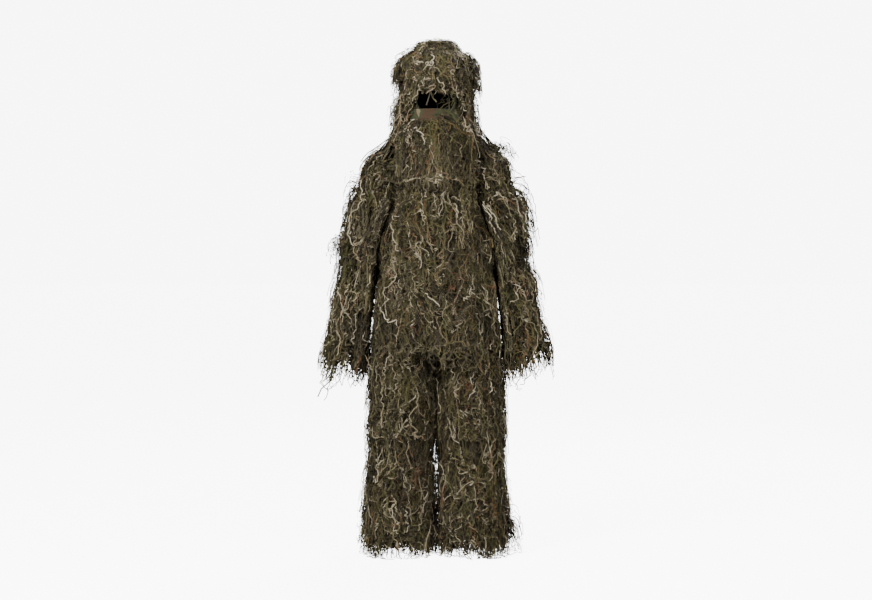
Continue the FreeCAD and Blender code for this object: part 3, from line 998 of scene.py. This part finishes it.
def wrap(name, form, rows, arc, columns, keep=everywhere, folds=0.004, calm=0.03, nodes=(), seed=1):
    """Cloth round a form. rows are (along, scale of the oval) from top to bottom; the folds
    calm down near the first and last row of full size."""
    rows = np.array(rows)
    along, angle = np.meshgrid(rows[:, 0], np.linspace(arc[0], arc[1], columns), indexing="ij")
    scale = np.broadcast_to(rows[:, 1][:, None], along.shape)
    full = rows[rows[:, 1] > 0.99][:, 0]
    edge = np.minimum(np.abs(along - full.min()), np.abs(along - full.max()))
    depth = folds * fold_depth(along, angle, form.girth(full.mean()), seed) * np.clip(edge / calm, 0, 1)
    points = form.point(along, angle, -0.0004)
    points = points - form.outward(along, angle) * depth[..., None]
    middle = form.start + along[..., None] * form.down + form.oval_at(along)[2][..., None] * form.back
    points = middle + (points - middle) * scale[..., None]
    sheet = cloth_sheet(name, points, keep)
    for node in nodes:
        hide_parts(node)
    return sheet


def full_rows(first, last, count):
    return [(along, 1.0) for along in np.linspace(first, last, count)]


def dome_rows(along, height, count):
    """Rows that close a form's top in a dome of that height above along."""
    steps = [math.pi / 2 * (1 - k / count) for k in range(count)]
    return [(along - height * math.sin(t), max(math.cos(t), 0.01)) for t in steps]


AROUND = (0.0, 2 * math.pi)


def build_jacket_cloth():
    heads = [(limbs[s]["shoulder"].centre, limbs[s]["shoulder"].radius + 0.002) for s in limbs]

    def off_armholes(centres):
        return np.all([np.linalg.norm(centres - c, axis=1) > r for c, r in heads], axis=0)

    rows = full_rows(0.001, torso.last + EDGE, 76)
    half = 0.003
    for node, arc, columns, seed in (
            ("jacket_front_left", (FRONT + half, 0.0), 34, 3),
            ("jacket_front_right", (math.pi, 1.5 * math.pi - half), 34, 4),
            ("jacket_back", (0.0, math.pi), 64, 5)):
        sheet = wrap(f"{node}_cloth", torso, rows, arc, columns, off_armholes, 0.005, nodes=[node],
                     seed=seed)
        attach(sheet, "jacket")
    low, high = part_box("placket_flap")
    x, z = np.meshgrid(np.linspace(low.x, high.x, 9), np.linspace(high.z, low.z, 60))
    wave = 0.0005 * np.sin(z * 95) + 0.0004 * np.sin(x * 260 + z * 40)
    points = np.stack((x, np.full(x.shape, low.y + 0.0008) + wave, z), -1)
    flap = cloth_sheet("placket_flap_cloth", points[:, ::-1], everywhere, 0.0010)
    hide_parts("placket_flap")
    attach(flap, "placket")


def build_limb_cloth(side):
    forms = limbs[side]
    shoulder, elbow = forms["upper_arm"].start, forms["forearm"].start
    cuff = np.array(mounts[f"{side}_cuff_bore"]["pos_m"], float)
    sleeves = [f"{side}_upper_sleeve", f"{side}_lower_sleeve"]
    arm = Form(sleeves, shoulder, cuff, 0.075, None, 0.0, levels=24)
    length = np.linalg.norm(cuff - shoulder) + 0.015
    head = forms["shoulder"].radius
    inward = -arm.side if side == "left" else arm.side

    def off_mouth(centres):
        local = centres - shoulder
        return ~((local @ inward > 0.025) & (local @ arm.down < 0.025))

    rows = dome_rows(0.0, head, 10) + full_rows(0.0, length, 64)
    sleeve = wrap(f"{side}_sleeve_cloth", arm, rows, AROUND, 49, off_mouth, 0.0045, 0.04, sleeves,
                  seed=11 if side == "left" else 12)
    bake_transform(sleeve)

    hip, knee = forms["thigh"].start, forms["shin"].start
    hem = np.array(mounts[f"{side}_hem_bore"]["pos_m"], float)
    parts = [f"{side}_thigh_cloth", f"{side}_shin_cloth"]
    leg = Form(parts, hip, hem, 0.0, None, 0.0, levels=30)
    length = np.linalg.norm(hem - hip) + 0.010
    trouser = wrap(f"{side}_leg_cloth", leg, full_rows(-0.035, length, 84), AROUND, 61, everywhere, 0.005,
                   0.04, parts, seed=13 if side == "left" else 14)
    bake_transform(trouser)


def build_seat_cloth():
    seat = upright(["trouser_seat"], levels=10, last=0.19)
    hip = limbs["left"]["thigh"].start

    def off_thighs(centres):
        return centres[:, 2] > hip[2] + 0.62 * np.maximum(-centres[:, 1], 0)

    sheet = wrap("trouser_seat_cloth", seat, full_rows(0.001, 0.24, 34), AROUND, 97, off_thighs, 0.004,
                 nodes=["trouser_seat"], seed=21)
    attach(sheet, "trousers")


def build_hood_cloth():
    low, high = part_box("face_binding")
    middle = (np.array(low) + np.array(high)) / 2
    half = (np.array(high) - np.array(low)) / 2 - 0.008

    def off_face(centres):
        local = (centres - middle) / half
        return ~((centres[:, 1] < 0) & (local[:, 0] ** 2 + local[:, 2] ** 2 < 1.04))

    rows = [(-0.002, s) for s in (0.01, 0.4, 0.8)] + full_rows(0.001, hood.last + EDGE, 50)
    sheet = wrap("hood_shell_cloth", hood, rows, AROUND, 97, off_face, 0.003, nodes=["hood_shell"], seed=31)
    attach(sheet, "hood")
    sheet = wrap("hood_cape_cloth", cape, full_rows(0.001, cape.last + EDGE, 12), AROUND, 97,
                 everywhere, 0.002, 0.02, ["hood_cape"], seed=32)
    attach(sheet, "cape")


def build_veil_cloth():
    low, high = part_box("face_veil")
    veil = upright(["face_veil"], levels=6)
    reach = math.acos(min(1.0, high.x / veil.oval_at(0.04)[0]))
    arc = (-math.pi + reach, -reach)
    sheet = wrap("face_veil_cloth", veil, full_rows(0.001, high.z - low.z - 0.001, 22), arc, 61,
                 everywhere, 0.003, 0.012, ["face_veil"], seed=33)
    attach(sheet, "veil")
    girth = veil.girth(0.05) * (arc[1] - arc[0]) / (2 * math.pi)


def paint(nodes, material):
    for name in nodes:
        mesh = frame["nodes"][name].data
        mesh.materials.clear()
        mesh.materials.append(material)


build_jacket_cloth()
for side in limbs:
    build_limb_cloth(side)
build_seat_cloth()
build_hood_cloth()
build_veil_cloth()
paint(("collar", "trouser_gusset"), camo)
paint(("jacket_hem_binding", "waist_elastic", "face_binding"), tape)
paint(("snap_studs", "snap_caps", "veil_snaps"), enamel)
for side in limbs:
    paint([f"{side}_{n}" for n in ("cuff_elastic", "hem_binding")], tape)

# ---------------------------------------------------------------- studio


WORLD_LIGHT = 0.22           # light on the suit from all around
BACKDROP = 8.0               # how bright the camera sees the background
LIT_POINT = Vector((0, 0, -0.5))


def build_studio():
    half = 30.0
    mesh = bpy.data.meshes.new("floor")
    corners = [(x * half, y * half, FLOOR) for x, y in ((-1, -1), (1, -1), (1, 1), (-1, 1))]
    mesh.from_pydata(corners, [], [(0, 1, 2, 3)])
    floor = bpy.data.objects.new("floor", mesh)
    bpy.context.scene.collection.objects.link(floor)
    material, _, _ = new_material("pale_floor", {
        "Base Color": (0.9, 0.9, 0.9, 1.0), "Roughness": 0.9,
        "Emission Color": (1.0, 1.0, 1.0, 1.0), "Emission Strength": BACKDROP})
    mesh.materials.append(material)
    floor.visible_diffuse = False
    floor.visible_glossy = False

    world = bpy.data.worlds.new("studio")
    world.use_nodes = True
    background = world.node_tree.nodes["Background"]
    background.inputs["Color"].default_value = (1.0, 1.0, 1.0, 1.0)
    seen = add(world.node_tree, "ShaderNodeLightPath").outputs["Is Camera Ray"]
    strength = map_range(world.node_tree, seen, to_min=WORLD_LIGHT, to_max=BACKDROP)
    world.node_tree.links.new(strength, background.inputs["Strength"])
    bpy.context.scene.world = world

    def area(name, place, size, power):
        light = bpy.data.lights.new(name, "AREA")
        light.size = size
        light.energy = power
        lamp = bpy.data.objects.new(name, light)
        bpy.context.scene.collection.objects.link(lamp)
        lamp.location = place
        aim = LIT_POINT - Vector(place)
        lamp.rotation_euler = aim.to_track_quat("-Z", "Y").to_euler()

    area("key", (-2.4, -3.2, 2.2), 1.4, 370)
    area("fill", (2.8, -3.0, 1.2), 2.0, 130)
    area("rim", (1.5, 2.8, 2.0), 1.6, 170)


def build_camera():
    lens = bpy.data.cameras.new("camera")
    camera = bpy.data.objects.new("camera", lens)
    bpy.context.scene.collection.objects.link(camera)
    distance, height = 6.5, 1.15
    aim_height = 0.89
    seen_width = 3.05
    camera.location = (0, -distance, FLOOR + height)
    aim = Vector((0, 0, FLOOR + aim_height)) - camera.location
    camera.rotation_euler = aim.to_track_quat("-Z", "Y").to_euler()
    lens.sensor_width = 36.0
    lens.lens = lens.sensor_width * aim.length / seen_width
    bpy.context.scene.camera = camera


build_studio()
build_camera()
